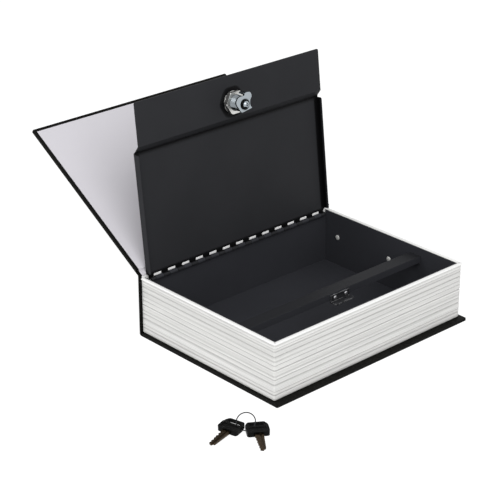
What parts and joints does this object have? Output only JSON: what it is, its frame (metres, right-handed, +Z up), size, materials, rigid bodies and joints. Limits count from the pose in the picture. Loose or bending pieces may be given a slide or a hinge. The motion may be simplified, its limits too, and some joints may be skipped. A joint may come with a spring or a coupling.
{
  "type": "book diversion safe",
  "caption": "Hollow hardback book that hides a black steel cash tray with a hinged, key-locked lid under the front cover, with its keys on a ring.",
  "frame": {"origin": "middle of the back board's underside", "axes": "+Z up, +X from the spine to the fore edge, +Y from the tail of the book to its head; the cover and the lid stand open at rest"},
  "size_m": [0.4138, 0.3542, 0.241],
  "materials": {
    "cover_skin": "black grained book skin, satin",
    "lining_paper": "smooth white lining paper",
    "page_plastic": "white moulded plastic with page ridges",
    "black_paint": "black powder coat on folded steel",
    "bright_chrome": "bright nickel chrome",
    "zinc_plate": "zinc-plated steel",
    "key_plastic": "black moulded plastic",
    "key_brass": "dull nickel-brown brass"
  },
  "bodies": {
    "book": {"back_board": "cover_skin", "back_fold": "cover_skin", "spine_board": "cover_skin", "spine_lining": "lining_paper", "page_block": "page_plastic", "tray": "black_paint", "ledge_bar": "black_paint", "cam_keeper": "black_paint", "keeper_rivet_1": "zinc_plate", "keeper_rivet_2": "zinc_plate", "tray_rivet_1": "zinc_plate", "tray_rivet_2": "zinc_plate", "tray_rivet_3": "zinc_plate", "tray_rivet_4": "zinc_plate", "hinge_pin": "zinc_plate"},
    "lid": {"lid": "black_paint", "lock_body": "bright_chrome", "lock_washer": "zinc_plate", "lock_nut": "bright_chrome"},
    "lock": {"lock_plug": "zinc_plate", "lock_cam": "bright_chrome", "cam_washer": "black_paint", "cam_screw": "bright_chrome"},
    "fold": {"cover_fold": "cover_skin", "fold_lining": "lining_paper"},
    "cover": {"front_board": "cover_skin", "front_lining": "lining_paper"},
    "ring": {"key_ring": "zinc_plate"},
    "key_1": {"key_1_head": "key_plastic", "key_1_blade": "key_brass"},
    "key_2": {"key_2_head": "key_plastic", "key_2_blade": "key_brass"}
  },
  "joints": [
    {"name": "lid_hinge", "type": "hinge", "parent": "book", "child": "lid", "pos_m": [-0.09461, 0, 0.05975], "axis": [0, 1, 0], "range_deg": [0, 96.5]},
    {"name": "spine_bend", "type": "hinge", "parent": "book", "child": "fold", "pos_m": [-0.0992, 0, 0.0659], "axis": [0, 1, 0], "range_deg": [0, 147.9]},
    {"name": "cover_bend", "type": "hinge", "parent": "fold", "child": "cover", "pos_m": [-0.10361, 0, 0.06866], "axis": [0, 1, 0], "range_deg": [-50, 0]},
    {"name": "lock_turn", "type": "hinge", "parent": "lid", "child": "lock", "pos_m": [-0.10692, 0, 0.21324], "axis": [0.9936, 0, 0.1132], "range_deg": [0, 180]},
    {"name": "keys_lift", "type": "slide", "parent": "book", "child": "ring", "axis": [0, 0, 1], "range_m": [0, 0.15]},
    {"name": "key_1_swing", "type": "hinge", "parent": "ring", "child": "key_1", "pos_m": [0.1015, -0.1842, 0.00371], "axis": [0, 0, -1], "range_deg": [0, 35]},
    {"name": "key_2_swing", "type": "hinge", "parent": "ring", "child": "key_2", "pos_m": [0.1138, -0.1747, 0.00371], "axis": [0, 0, 1], "range_deg": [0, 35]}
  ],
  "couplings": [
    {"joint": "spine_bend", "follows": "lid_hinge", "ratio": 1.5326}
  ]
}
